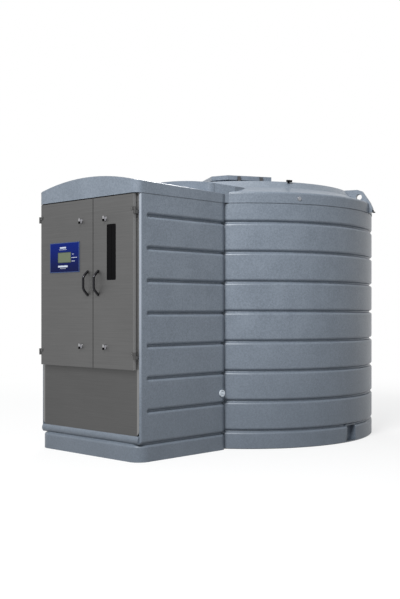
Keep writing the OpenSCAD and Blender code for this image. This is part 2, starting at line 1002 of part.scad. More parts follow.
// The right-hand side wall before its grooves are cut
module side_wall_blank() {
    front = front_y - 2 * front_corner_r;
    translate([0, 0, cab_base_z])
        linear_extrude(body_h - cab_base_z)
            difference() {
                cabinet_plan(0, front_corner_r);
                cabinet_space(side_t, front);
                translate([0, front])
                    square([front_half_w + SEAT, 2 * front_corner_r + frame_d]);
                translate([-tank_r, front])
                    square([tank_r, tank_setback * 2]);
            }
}

module cabinet_wall_right() {
    color(PLASTIC)
        difference() {
            difference() {
                side_wall_blank();
                base_groove_side(-2 * front_corner_r);
            }
            base_groove_rear();
            side_grooves();
        }
}

module cabinet_wall_left() {
    mirrored()
        cabinet_wall_right();
}

// stainless front

// A folded sheet: a flat face with edges folded back, open at the rear. Low front corner at the origin.
module tray(w, h, d, t) {
    difference() {
        cube([w, d, h]);
        translate([t, t, t])
            cube([w - 2 * t, d, h - 2 * t]);
    }
}

module lower_panel() {
    w = 2 * front_half_w;
    color(STAINLESS)
        intersection() {
            translate([-front_half_w, front_y, sill_top])
                tray(w, panel_top - sill_top, frame_d, sheet_t);
            union() {
                for (side = [-1, 1])
                    translate([side * (front_half_w - panel_corner_r), front_y - CUT, sill_top + panel_corner_r])
                        rotate([-90, 0, 0])
                            cylinder(r = panel_corner_r, h = frame_d + 2 * CUT);
                translate([-front_half_w, front_y - CUT, sill_top + panel_corner_r])
                    cube([w, frame_d + 2 * CUT, panel_top - sill_top]);
                translate([-front_half_w + panel_corner_r, front_y - CUT, sill_top])
                    cube([w - 2 * panel_corner_r, frame_d + 2 * CUT, panel_top - sill_top]);
            }
        }
}

// The two upright members of the frame
module frame_uprights() {
    color(STAINLESS)
        for (x = [-front_half_w, front_half_w - stile_w])
            translate([x, front_y, panel_top])
                tray(stile_w, joint_z - panel_top, frame_d, sheet_t);
}

// The rails above and below the door opening
module frame_rails() {
    color(STAINLESS)
        for (z = [panel_top, joint_z - rail_h])
            translate([-front_half_w + stile_w, front_y, z])
                tray(2 * (front_half_w - stile_w), rail_h, frame_d, sheet_t);
}

module centre_post() {
    h = joint_z - panel_top - 2 * rail_h;
    color(STAINLESS)
        translate([door_gap_x, front_y, panel_top + rail_h]) {
            translate([-post_w / 2, 0, 0])
                cube([post_w, sheet_t, h]);
            translate([-post_box_w / 2, sheet_t, 0])
                difference() {
                    cube([post_box_w, frame_d - sheet_t, h]);
                    translate([sheet_t, -CUT, -CUT])
                        cube([post_box_w - 2 * sheet_t, frame_d - 2 * sheet_t + CUT, h + 2 * CUT]);
                }
        }
}

// doors

// A tray door from x0 to x1, with edges folded in again at its back and holes for its two latches
module door(x0, x1, latch_x) {
    w = x1 - x0;
    h = door_z1 - door_z0;
    d = door_back_y - door_front_y;
    difference() {
        translate([x0, door_front_y, door_z0])
            difference() {
                cube([w, d, h]);
                translate([door_t, door_t, door_t])
                    cube([w - 2 * door_t, d - 2 * door_t, h - 2 * door_t]);
                translate([door_lip, door_t, door_lip])
                    cube([w - 2 * door_lip, d, h - 2 * door_lip]);
            }
        for (z = [latch_lower_z, latch_upper_z])
            translate([latch_x, door_front_y - CUT, z])
                rotate([-90, 0, 0])
                    cylinder(r = latch_shaft_r + pin_clear, h = door_t + 2 * CUT);
    }
}

module left_door() {
    color(STAINLESS)
        door(-doors_half_w, door_gap_x - door_gap / 2, latch_x_left);
}

// An upright slot with round corners, grown by an amount all round
module slot_shape(grow, depth) {
    r = slot_r + grow;
    w = slot_w / 2 + grow - r;
    h = slot_h / 2 + grow - r;
    for (x = [-w, w], z = [-h, h])
        translate([x, 0, z])
            rotate([-90, 0, 0])
                cylinder(r = r, h = depth);
    translate([-w - r, 0, -h])
        cube([2 * (w + r), depth, 2 * h]);
    translate([-w, 0, -h - r])
        cube([2 * w, depth, 2 * (h + r)]);
}

module right_door() {
    color(STAINLESS)
        difference() {
            door(door_gap_x + door_gap / 2, doors_half_w, latch_x_right);
            translate([slot_x, door_front_y - CUT, slot_z])
                slot_shape(0, door_t + 2 * CUT);
        }
}

// Black rubber curtain behind the hose slot, slit down its middle
module slot_curtain() {
    color(DARK)
        translate([slot_x, door_front_y + door_t, slot_z])
            difference() {
                slot_shape(curtain_lap, curtain_t);
                translate([-curtain_slit / 2, -CUT, -slot_h / 2])
                    cube([curtain_slit, curtain_t + 2 * CUT, slot_h]);
            }
}

module display_plate() {
    color("#001c6e")
        translate([plate_x - plate_w / 2, door_front_y - plate_t, plate_z - plate_h / 2])
            difference() {
                cube([plate_w, plate_t, plate_h]);
                translate([(plate_w - window_w) / 2, -CUT, (plate_h - window_h) / 2])
                    cube([window_w, CUT + plate_t / 2, window_h]);
            }
}

module display_window() {
    color("#6f8468")
        translate([plate_x - window_w / 2 + SEAT, door_front_y - plate_t + 0.5, plate_z - window_h / 2 + SEAT])
            cube([window_w - 2 * SEAT, plate_t / 2 - 0.5, window_h - 2 * SEAT]);
}

// Bow handle: two legs, two bends and a grip
module handle(x) {
    grip = handle_l - 2 * handle_bend_r;
    leg = handle_reach - handle_bend_r;
    color(DARK)
        translate([x, door_front_y, handle_z]) {
            for (side = [0, 1])
                mirror([0, 0, side]) {
                    translate([0, 0, handle_l / 2])
                        rotate([90, 0, 0])
                            cylinder(r = handle_bar_r, h = leg);
                    translate([0, -leg, handle_l / 2 - handle_bend_r])
                        rotate([180, -90, 0])
                            rotate_extrude(angle = 90, $fn = 64)
                                translate([handle_bend_r, 0])
                                    circle(r = handle_bar_r, $fn = 32);
                }
            translate([0, -handle_reach, -grip / 2])
                cylinder(r = handle_bar_r, h = grip);
        }
}

module left_handle() {
    handle(door_gap_x - handle_off);
}

module right_handle() {
    handle(door_gap_x + handle_off);
}

// hinges

// Upper barrels and leaves, which turn with the right-hand door
module right_door_hinges() {
    color(STAINLESS)
        for (z = [hinge_lower_z, hinge_upper_z])
            translate([hinge_x, 0, z + hinge_gap / 2])
                difference() {
                    union() {
                        translate([0, hinge_y, 0])
                            cylinder(r = barrel_r, h = barrel_h);
                        translate([-leaf_w, door_front_y - leaf_t, 0])
                            cube([leaf_w, leaf_t, barrel_h]);
                    }
                    translate([0, hinge_y, -CUT])
                        cylinder(r = hinge_pin_r + pin_clear, h = barrel_h + 2 * CUT);
                }
}

module left_door_hinges() {
    mirrored()
        right_door_hinges();
}

// Lower barrels with their pins and the arms that hold them off the frame
module frame_hinges_right() {
    color(STAINLESS)
        for (z = [hinge_lower_z, hinge_upper_z])
            translate([hinge_x, hinge_y, z - hinge_gap / 2]) {
                translate([0, 0, -barrel_h])
                    cylinder(r = barrel_r, h = barrel_h);
                translate([0, 0, -CUT])
                    cylinder(r = hinge_pin_r, h = hinge_gap + barrel_h);
                translate([-arm_w / 2, 0, -barrel_h])
                    cube([arm_w, front_y - hinge_y, barrel_h]);
            }
}

module frame_hinges_left() {
    mirrored()
        frame_hinges_right();
}

// latches

// A quarter-turn latch: rose and wing outside, shaft through the door, cam inside
module latch(x, z) {
    cam_y = -(door_proud + sheet_t + cam_clear);
    color(DARK)
        translate([x, door_front_y, z])
            rotate([90, 0, 0]) {
                translate([0, 0, SEAT])
                    cylinder(r = latch_rose_r, h = latch_rose_t);
                translate([-wing_w / 2, -wing_l / 2, SEAT + CUT])
                    cube([wing_w, wing_l, latch_rose_t + wing_h - CUT]);
                translate([0, 0, cam_y - cam_t])
                    cylinder(r = latch_shaft_r, h = cam_t - cam_y + CUT);
                translate([-cam_w / 2, -cam_w / 2, cam_y - cam_t])
                    cube([cam_w, cam_reach + cam_w / 2, cam_t]);
            }
}

module upper_left_latch() {
    latch(latch_x_left, latch_upper_z);
}

module lower_left_latch() {
    latch(latch_x_left, latch_lower_z);
}

module upper_right_latch() {
    latch(latch_x_right, latch_upper_z);
}

module lower_right_latch() {
    latch(latch_x_right, latch_lower_z);
}

// White screw plug on the cabinet's right side, near the tank
module drain_plug() {
    depth = rear_corner_y - front_y - plug_t / 2;
    color("#e0e8f0")
        translate([half_w(depth), front_y + depth, plug_z])
            rotate([0, 90, -splay])
                translate([0, 0, SEAT]) {
                    difference() {
                        cylinder(r = plug_r, h = plug_t);
                        translate([0, 0, plug_t / 2])
                            cylinder(r = plug_r * 0.7, h = plug_t);
                    }
                    cylinder(r = plug_r * 0.3, h = plug_t * 1.3);
                }
}

tank_floor();
tank_wall_front();
tank_wall_right_front();
tank_wall_right();
tank_wall_right_rear();
tank_wall_left_rear();
tank_wall_left();
tank_wall_left_front();
roof_cover();
manway_collar();
manway_lid();
manway_hinge();
manway_clips();
lifting_lug_right();
lifting_lug_left();
roof_knobs();
roof_hooks();
plinth_front();
plinth_right();
plinth_left();
cabinet_sill();
cabinet_floor();
cabinet_wall_right();
cabinet_wall_left();
cabinet_roof();
lower_panel();
frame_uprights();
frame_rails();
centre_post();
left_door();
right_door();
left_door_hinges();
right_door_hinges();
frame_hinges_left();
frame_hinges_right();
left_handle();
right_handle();
display_plate();
display_window();
slot_curtain();
upper_left_latch();
lower_left_latch();
upper_right_latch();
lower_right_latch();
drain_plug();
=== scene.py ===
"""Looks of a plastic exhaust fluid tank: finishes, small fittings and studio."""

import math

import bmesh
import bpy
from mathutils import Matrix, Vector


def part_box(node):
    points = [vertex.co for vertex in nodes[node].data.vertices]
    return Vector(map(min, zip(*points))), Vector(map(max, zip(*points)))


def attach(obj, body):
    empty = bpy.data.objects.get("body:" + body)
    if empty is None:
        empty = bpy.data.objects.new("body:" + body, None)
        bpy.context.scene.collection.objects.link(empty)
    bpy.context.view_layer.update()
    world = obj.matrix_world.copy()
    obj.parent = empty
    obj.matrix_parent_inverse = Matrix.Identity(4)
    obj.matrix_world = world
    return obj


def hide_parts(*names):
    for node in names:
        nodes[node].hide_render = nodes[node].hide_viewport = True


bl_info = {
    "name": "Exhaust fluid tank looks",
    "version": (1, 0, 0),
    "blender": (4, 5, 0),
    "location": "3D View > Sidebar > Tank",
    "description": "Finishes, small fittings and studio for a ribbed plastic tank with a dispensing cabinet",
    "category": "Object",
}

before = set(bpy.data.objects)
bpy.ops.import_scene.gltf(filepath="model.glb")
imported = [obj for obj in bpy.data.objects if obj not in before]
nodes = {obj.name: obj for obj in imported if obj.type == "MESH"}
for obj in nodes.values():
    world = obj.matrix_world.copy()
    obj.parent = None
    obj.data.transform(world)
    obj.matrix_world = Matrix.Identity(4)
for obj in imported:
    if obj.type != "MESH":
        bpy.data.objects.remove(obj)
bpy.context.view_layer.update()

# Places that the frame gives
PLATE_LOW, PLATE_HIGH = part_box("display_plate")
WINDOW_LOW, WINDOW_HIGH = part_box("display_window")
TANK_LOW, TANK_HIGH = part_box("tank_floor")
TANK_CENTRE = (TANK_LOW + TANK_HIGH) / 2

# Sizes that the fittings share
HIDDEN_FACE = 0.0004  # how far a fitting's back sinks into what carries it
SHARP_ANGLE = math.radians(40)  # edges that turn by more than this stay sharp
RIM_SHARE = 0.3  # rounding of a disc's rim, as a share of its thickness or its radius, whichever is less
SCREW_SHARES = (0.25, 0.75)  # places of a hinge leaf's two screws, as shares of its height

# The photograph's frame and the camera that fits it
PHOTO_W = 400
PHOTO_H = 599
FOCAL_PX = 850
AXIS_X_PX = 217.9
HORIZON_PX = 311
SENSOR_MM = 36
CAMERA_AT = Vector((4.656, -5.300, 1.017))
CAMERA_TURN = math.radians(41.17)


# Shaders

MIX_FACTOR, MIX_A, MIX_B = 0, 6, 7  # a Mix node's sockets for colours, whose names it repeats
MIX_RESULT = 2
SEEN_RAYS = ("Is Camera Ray", "Is Glossy Ray", "Is Transmission Ray")
ALONG_X = (1.0, 40.0, 130.0)  # stretch of the brushing on sheets that face the front
GROUND_SHADE_LOW = -0.1  # height at which the plastic's painted shade towards the ground would be full
LIP_HIGHLIGHT_DEPTH = 0.001  # depth behind a side wall's front up to which the painted highlight on its lip is palest
LIT_W, LIT_H = 0.93, 0.88  # lit part of the display, as shares of its window


class Value:
    """One output of a node. Python's operators on it, also with plain numbers, add Math nodes."""

    def __init__(self, shading, socket):
        self.shading = shading
        self.socket = socket

    def _math(self, operation, first, second=None):
        """Adds a Math node with one or two inputs."""
        inputs = {0: first} if second is None else {0: first, 1: second}
        return self.shading.node("ShaderNodeMath", {"operation": operation}, inputs)

    def __add__(self, other):
        return self._math("ADD", self, other)

    def __radd__(self, other):
        return self._math("ADD", other, self)

    def __sub__(self, other):
        return self._math("SUBTRACT", self, other)

    def __rsub__(self, other):
        return self._math("SUBTRACT", other, self)

    def __mul__(self, other):
        return self._math("MULTIPLY", self, other)

    def __rmul__(self, other):
        return self._math("MULTIPLY", other, self)

    def __truediv__(self, other):
        return self._math("DIVIDE", self, other)

    def __gt__(self, other):
        return self._math("GREATER_THAN", self, other)

    def __abs__(self):
        return self._math("ABSOLUTE", self)

    def ramp(self, low, high):
        """0 below low, 1 above high, and smooth between them."""
        settings = {"interpolation_type": "SMOOTHSTEP"}
        inputs = {"Value": self, "From Min": low, "From Max": high}
        return self.shading.node("ShaderNodeMapRange", settings, inputs)


def tint(colour, factor=1.0):
    """A colour made darker or lighter by a factor, with the alpha that a colour socket needs."""
    return (*(part * factor for part in colour), 1)


class Shading:
    """A node tree that is built by plain calls."""

    def __init__(self, tree):
        self.tree = tree
        self.tree.nodes.clear()

    def node(self, kind, settings=None, inputs=None, output=0):
        """Adds a node of a kind, sets its settings, then its sockets, and returns one output."""
        made = self.tree.nodes.new(kind)
        for name, value in (settings or {}).items():
            setattr(made, name, value)
        for key, value in (inputs or {}).items():
            if isinstance(value, Value):
                self.tree.links.new(value.socket, made.inputs[key])
            else:
                made.inputs[key].default_value = value
        return Value(self, made.outputs[output]) if made.outputs else None

    def place(self):
        """The object coordinates as one vector."""
        return self.node("ShaderNodeTexCoord", output="Object")

    def axes(self):
        """The object coordinates x, y and z as three numbers."""
        split = self.node("ShaderNodeSeparateXYZ", None, {"Vector": self.place()}).socket.node
        return [Value(self, out) for out in split.outputs]

    def noise(self, scale, detail, stretch=(1, 1, 1), roughness=0.5):
        """Noise of a scale per metre, stretched by the three factors."""
        place = self.node("ShaderNodeMapping", None, {"Vector": self.place(), "Scale": stretch})
        inputs = {"Vector": place, "Scale": scale, "Detail": detail, "Roughness": roughness}
        return self.node("ShaderNodeTexNoise", {"noise_dimensions": "3D"}, inputs)

    def mix(self, share, first, second):
        """A colour between two others."""
        inputs = {MIX_FACTOR: share, MIX_A: first, MIX_B: second}
        return self.node("ShaderNodeMix", {"data_type": "RGBA"}, inputs, output=MIX_RESULT)

    def bump(self, height, distance, strength):
        """The normal of a surface whose height varies by a distance in metres."""
        inputs = {"Height": height, "Distance": distance, "Strength": strength}
        return self.node("ShaderNodeBump", None, inputs)

    def seen(self):
        """1 where the camera looks, straight or through metal and glass, and 0 for light on the tank."""
        rays = self.node("ShaderNodeLightPath").socket.node.outputs
        return sum(Value(self, rays[name]) for name in SEEN_RAYS) > 0.5


class Finish(Shading):
    """A material and its node tree."""

    def __init__(self, name):
        self.material = bpy.data.materials.new(name)
        self.material.use_nodes = True
        super().__init__(self.material.node_tree)

    def surface(self, **sockets):
        """Ends the tree in a Principled shader whose sockets are given with spaces as underscores."""
        inputs = {name.replace("_", " "): value for name, value in sockets.items()}
        shader = self.node("ShaderNodeBsdfPrincipled", None, inputs)
        self.node("ShaderNodeOutputMaterial", None, {"Surface": shader})
        return self.material


def tank_plastic(name, look, lip_highlight=False):
    """Moulded polyethylene: satin, with the mould's fine mottle and grain, and painted shade that darkens it
    towards the ground.

    A side wall's front lip carries a painted highlight that makes it paler, except near the ground.
    """
    finish = Finish(name)
    _, y, z = finish.axes()
    grain = finish.noise(scale=210, detail=2)
    mottle = finish.noise(scale=75, detail=3)
    patches = finish.noise(scale=6, detail=3)
    share = 0.45 * grain + 0.35 * mottle + 0.2 * patches
    colour = finish.mix(share.ramp(0.36, 0.64), tint(look.plastic_dark), tint(look.plastic_light))
    if lip_highlight:
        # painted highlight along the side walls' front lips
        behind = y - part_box("cabinet_wall_right")[0].y
        lip = (1 - behind.ramp(LIP_HIGHLIGHT_DEPTH, look.lip_highlight_width)) * z.ramp(look.lip_highlight_low, look.lip_highlight_full)
        colour = finish.mix(lip, colour, tint(look.plastic_lip_highlight))
    # painted shade: the plastic darkens towards the ground, and is slightly rougher there
    foot = 1 - z.ramp(GROUND_SHADE_LOW, look.ground_shade_top)
    return finish.surface(
        Base_Color=finish.mix(look.ground_shade_share * foot, colour, tint(look.plastic_dark, look.ground_shade_tone)),
        Roughness=look.plastic_roughness + 0.14 * (grain - 0.5) + 0.06 * foot,
        Specular_IOR_Level=0.5,
        Normal=finish.bump(0.5 * grain + 0.5 * mottle, distance=0.0014, strength=0.4),
    )


def brushed_steel(name, colour, look):
    """Stainless sheet brushed across the front, with faint patches and painted light that brightens the
    folded outer edges.
    """
    finish = Finish(name)
    x, _, _ = finish.axes()
    streaks = finish.noise(scale=3, detail=4, stretch=ALONG_X, roughness=0.7)
    patches = finish.noise(scale=1.6, detail=2)
    share = 0.7 * streaks + 0.3 * patches
    sheet = finish.mix(share.ramp(0.3, 0.7), tint(colour, 0.88), tint(colour, 1.12))
    return finish.surface(
        # painted light: the folded outer edges are brightened where they stand in the doors' shade
        Base_Color=finish.mix(abs(x) > look.lit_fold_x, sheet, tint(look.lit_fold_steel)),
        Metallic=1.0,
        Roughness=look.steel_roughness + 0.16 * (streaks - 0.5),
        Normal=finish.bump(streaks, distance=0.0004, strength=0.3),
    )


def polished_metal(name, colour, roughness):
    """Plated or polished metal with slight handling marks."""
    finish = Finish(name)
    marks = finish.noise(scale=60, detail=3)
    return finish.surface(Base_Color=tint(colour), Metallic=1.0, Roughness=roughness + 0.08 * (marks - 0.5))


def black_rubber(name, look):
    """Matt black rubber with a fine grain."""
    finish = Finish(name)
    grain = finish.noise(scale=400, detail=2)
    return finish.surface(
        Base_Color=finish.mix(grain, tint(look.rubber_dark), tint(look.rubber_light)),
        Roughness=0.7 + 0.1 * (grain - 0.5),
        Specular_IOR_Level=0.05,
        Normal=finish.bump(grain, distance=0.0004, strength=0.5),
    )


def blue_plate(look):
    """Printed plate: deep blue that pales towards the top, with a thin pale line round its edge."""
    finish = Finish("blue_plate")
    x, _, z = finish.axes()
    middle = (PLATE_LOW + PLATE_HIGH) / 2
    half = (PLATE_HIGH - PLATE_LOW) / 2
    edge_x = abs(x - middle.x) > (half.x - look.plate_line)
    edge_z = abs(z - middle.z) > (half.z - look.plate_line)
    height = (z - PLATE_LOW.z) / (2 * half.z)
    speckle = finish.noise(scale=90, detail=2)
    blue = finish.mix(height.ramp(0.0, 1.0), tint(look.plate_dark), tint(look.plate_light))
    return finish.surface(
        Base_Color=finish.mix((edge_x + edge_z) > 0.5, blue, tint(look.plate_edge)),
        Roughness=0.36 + 0.1 * (speckle - 0.5),
        Specular_IOR_Level=0.08,
    )


def display_glass(look):
    """Grey-green liquid crystal display behind a glossy window, darker round its rim."""
    finish = Finish("display_window")
    x, _, z = finish.axes()
    middle = (WINDOW_LOW + WINDOW_HIGH) / 2
    half = (WINDOW_HIGH - WINDOW_LOW) / 2
    off_x = abs(x - middle.x) / half.x
    off_z = abs(z - middle.z) / half.z
    rim = ((off_x > LIT_W) + (off_z > LIT_H)) > 0.5
    cells = finish.noise(scale=300, detail=1)
    lit = finish.mix(cells, tint(look.display_dark), tint(look.display_light))
    shown = finish.mix(rim, lit, tint(look.display_rim))
    return finish.surface(Base_Color=shown, Roughness=0.12, Specular_IOR_Level=0.2)


def plain_plastic(name, colour, roughness):
    """Plain moulded plastic with a faint unevenness."""
    finish = Finish(name)
    grain = finish.noise(scale=150, detail=2)
    mottled = finish.mix(grain, tint(colour, 0.94), tint(colour))
    return finish.surface(Base_Color=mottled, Roughness=roughness)


# Meshes


def add_piece(name, shape, material, body):
    """Turns a bmesh into a piece that rides on a body and takes its finish from a slot."""
    bmesh.ops.remove_doubles(shape, verts=shape.verts, dist=1e-6)
    bmesh.ops.recalc_face_normals(shape, faces=shape.faces)
    mesh = bpy.data.meshes.new(name)
    shape.to_mesh(mesh)
    shape.free()
    mesh.materials.append(material)
    piece = bpy.data.objects.new(name, mesh)
    bpy.context.scene.collection.objects.link(piece)
    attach(piece, body)
    return piece


def shade_smooth(piece):
    """Smooth shading, apart from edges that turn by more than the sharp angle."""
    piece.data.shade_smooth()
    piece.data.set_sharp_from_angle(angle=SHARP_ANGLE)


def facing(direction, at):
    """Matrix that turns +Z to a direction and moves it to a place."""
    return Matrix.Translation(at) @ direction.to_track_quat("Z", "Y").to_matrix().to_4x4()


def round_edges(shape, edges, reach):
    """Bevels edges into a small rounding."""
    bmesh.ops.bevel(shape, geom=edges, offset=reach, segments=2, profile=0.5, affect="EDGES", material=-1)


def add_disc_stack(shape, at, direction, steps, segments=24):
    """Adds stepped discs that stand on a surface: each step is (radius, thickness)."""
    height = 0.0
    for radius, thick in steps:
        turned = facing(direction, at) @ Matrix.Translation((0, 0, height + thick / 2))
        made = bmesh.ops.create_cone(
            shape,
            cap_ends=True,
            segments=segments,
            radius1=radius,
            radius2=radius,
            depth=thick,
            matrix=turned,
        )
        rim = [
            edge
            for edge in {link for vert in made["verts"] for link in vert.link_edges}
            if all((turned.inverted() @ vert.co).z > 0 for vert in edge.verts)
        ]
        round_edges(shape, rim, min(radius, thick) * RIM_SHARE)
        height += thick


class Bar:
    """A round bar that grows from its foot by straights and bends."""

    def __init__(self, shape, foot, direction, radius, segments=20):
        self.shape = shape
        self.at = foot
        self.direction = direction.normalized()
        start = facing(self.direction, foot)
        made = bmesh.ops.create_circle(shape, cap_ends=True, segments=segments, radius=radius, matrix=start)
        self.ring = list({edge for vert in made["verts"] for edge in vert.link_edges})

    def straight(self, length):
        """Grows straight on by a length."""
        made = bmesh.ops.extrude_edge_only(self.shape, edges=self.ring)["geom"]
        verts = [part for part in made if isinstance(part, bmesh.types.BMVert)]
        self.ring = [part for part in made if isinstance(part, bmesh.types.BMEdge)]
        move = self.direction * length
        bmesh.ops.translate(self.shape, verts=verts, vec=move)
        self.at = self.at + move

    def bend(self, axis, angle, radius, steps=8):
        """Turns about an axis that lies a radius beside the bar."""
        centre = self.at + axis.cross(self.direction) * radius
        verts = list({vert for edge in self.ring for vert in edge.verts})
        made = bmesh.ops.spin(
            self.shape,
            geom=verts + self.ring,
            cent=centre,
            axis=axis,
            angle=angle,
            steps=steps,
            use_merge=False,
        )
        self.ring = [part for part in made["geom_last"] if isinstance(part, bmesh.types.BMEdge)]
        turn = Matrix.Rotation(angle, 3, axis)
        self.at = centre + turn @ (self.at - centre)
        self.direction = turn @ self.direction

    def cap(self):
        """Closes the bar's end."""
        bmesh.ops.contextual_create(self.shape, geom=self.ring)


def add_block(shape, low, high):
    """Adds a box between two corners."""
    size = Vector(high) - Vector(low)
    middle = (Vector(high) + Vector(low)) / 2
    bmesh.ops.create_cube(shape, size=1.0, matrix=Matrix.Translation(middle) @ Matrix.Diagonal((*size, 1)))


# Settings

# Each of these five functions makes a property of one kind: name, what it sets, and default.


def colour_prop(name, about, default):
    return bpy.props.FloatVectorProperty(
        name=name, description=about, default=default, subtype="COLOR", size=3, min=0.0, max=1.0
    )


def length_prop(name, about, default):
    return bpy.props.FloatProperty(name=name, description=about, default=default, unit="LENGTH", min=0.0)


def share_prop(name, about, default):
    return bpy.props.FloatProperty(
        name=name, description=about, default=default, subtype="FACTOR", min=0.0, max=1.0
    )


def place_prop(name, about, default):
    return bpy.props.FloatVectorProperty(
        name=name, description=about, default=default, subtype="TRANSLATION", unit="LENGTH", size=3
    )


def power_prop(name, about, default):
    return bpy.props.FloatProperty(name=name, description=about, default=default, unit="POWER", min=0.0)


class TankLook(bpy.types.PropertyGroup):
    """Colours and gloss of the tank's finishes."""

    plastic_light: colour_prop("Plastic, light", "Lighter colour of the mottle", (0.222, 0.262, 0.316))
    plastic_dark: colour_prop("Plastic, dark", "Darker colour of the mottle", (0.146, 0.177, 0.218))
    plastic_roughness: share_prop("Plastic roughness", "How dull the moulded plastic is", 0.36)
    # painted shade that darkens the plastic towards the ground, set by these three
    ground_shade_top: length_prop("Shade height", "Height up to which the plastic darkens to the ground", 1.1)
    ground_shade_tone: share_prop("Shade tone", "Tone of the shade, as a share of the dark colour", 0.75)
    ground_shade_share: share_prop("Shade share", "How much of the shade shows at the ground", 0.5)
    # painted highlight on the side walls' front lips, set by these four
    plastic_lip_highlight: colour_prop("Plastic lip", "Colour of the side walls' front lips", (0.36, 0.40, 0.46))
    lip_highlight_width: length_prop("Lip width", "Depth of the paler lip behind the side walls' front", 0.012)
    lip_highlight_low: length_prop("Lip start", "Height at which the front lips start to turn paler", 0.2)
    lip_highlight_full: length_prop("Lip full", "Height from which the front lips are palest", 1.1)
    door_steel: colour_prop("Door steel", "Colour of the doors and frame", (0.140, 0.140, 0.140))
    # darker copy of the door steel: painted shade for the dark floor that the lower panel reflects
    shaded_panel_steel: colour_prop("Panel steel", "Colour of the fixed lower panel", (0.112, 0.112, 0.112))
    # painted light on the front's folded outer edges
    lit_fold_steel: colour_prop("Fold steel", "Colour of the front's folded outer edges", (0.24, 0.24, 0.24))
    lit_fold_x: length_prop("Fold place", "Distance from the front's middle to the folded edges", 0.4975)
    steel_roughness: share_prop("Steel roughness", "How dull the brushed steel is", 0.56)
    hinge_steel: colour_prop("Hinge steel", "Colour of the doors' hinges", (0.09, 0.09, 0.09))
    screw_steel: colour_prop("Screw steel", "Colour of the hinges' screws", (0.28, 0.28, 0.28))
    # the clips' dark stainless is painted shade of the slots beside the lid
    shaded_clip_steel: colour_prop("Clip steel", "Colour of the clips beside the lid", (0.10, 0.10, 0.105))
    latch_chrome: colour_prop("Latch chrome", "Colour of the latches", (0.52, 0.52, 0.54))
    bolt_chrome: colour_prop("Bolt chrome", "Colour of the bolts on the roof's skirt", (0.30, 0.31, 0.33))
    handle_chrome: colour_prop("Handle chrome", "Dark chrome of the bow handles", (0.030, 0.030, 0.033))
    rubber_light: colour_prop("Rubber, light", "Lighter colour of its grain", (0.004, 0.004, 0.005))
    rubber_dark: colour_prop("Rubber, dark", "Darker colour of its grain", (0.002, 0.002, 0.002))
    plug_white: colour_prop("Plug white", "Colour of the drain plug", (0.72, 0.78, 0.84))
    plate_light: colour_prop("Plate, top", "Blue at the top of the display plate", (0.001, 0.013, 0.160))
    plate_dark: colour_prop("Plate, bottom", "Blue at the bottom of that plate", (0.001, 0.005, 0.055))
    plate_edge: colour_prop("Plate edge", "Line round the display plate", (0.07, 0.11, 0.24))
    plate_line: length_prop("Plate line", "Width of the line round the display plate", 0.004)
    mark_white: colour_prop("Mark white", "Colour of the plain bars on that plate", (0.62, 0.68, 0.80))
    display_light: colour_prop("Display, light", "Lighter colour of the display", (0.155, 0.185, 0.120))
    display_dark: colour_prop("Display, dark", "Darker colour of the display", (0.130, 0.160, 0.100))
    display_rim: colour_prop("Display rim", "Colour round the display", (0.06, 0.085, 0.06))


class FittingSizes(bpy.types.PropertyGroup):
    """Sizes of the small fittings."""

    bolt_r: length_prop("Bolt radius", "Radius of the bolt heads on the roof's skirt", 0.013)
    bolt_thick: length_prop("Bolt thickness", "Thickness of those bolt heads", 0.007)
    washer_r: length_prop("Washer radius", "Radius of the washers under them", 0.01625)
    washer_thick: length_prop("Washer thickness", "Thickness of those washers", 0.002)
    bolt_z: length_prop("Bolt height", "Height of those bolts above the ground", 1.852)
    bolt_angle: bpy.props.FloatProperty(
        name="Bolt angle",
        description="Direction of those bolts, in front of the tank's widest line",
        default=math.radians(28.5),
        subtype="ANGLE",
    )
    screw_r: length_prop("Screw radius", "Radius of the hinges' screw heads", 0.0034)
    screw_thick: length_prop("Screw thickness", "Thickness of those screw heads", 0.0018)
    leaf_h: length_prop("Leaf height", "Height of each hinge leaf on a door", 0.0225)
    leaf_thick: length_prop("Leaf thickness", "Thickness of each hinge leaf", 0.003)
    leaf_lap: length_prop("Leaf lap", "How far each hinge leaf laps its door", 0.021)
    wing_l: length_prop("Wing length", "Height of the latches' wings", 0.036)
    # the latches' black caps are partly painted shade on the wings' lower halves
    cap_w: length_prop("Cap width", "Width of the black cap on a latch's wing", 0.013)
    cap_front: length_prop("Cap front", "How far that cap stands out in front of the wing", 0.0035)
    cap_back: length_prop("Cap back", "How far that cap reaches back along the wing", 0.008)
    cap_lap: length_prop("Cap lap", "How far that cap passes the wing's lower end", 0.001)
    cap_gap: length_prop("Cap gap", "Space between that cap and the wing's middle", 0.002)
    cap_round: length_prop("Cap rounding", "Rounding of that cap's edges", 0.0015)
    grip_r: length_prop("Grip radius", "Radius of the door handles' bars", 0.009)
    grip_bend: length_prop("Grip bend", "Radius of the handles' bends", 0.035)
    mark_thick: length_prop("Mark thickness", "Thickness of the plain bars on the display plate", 0.0004)


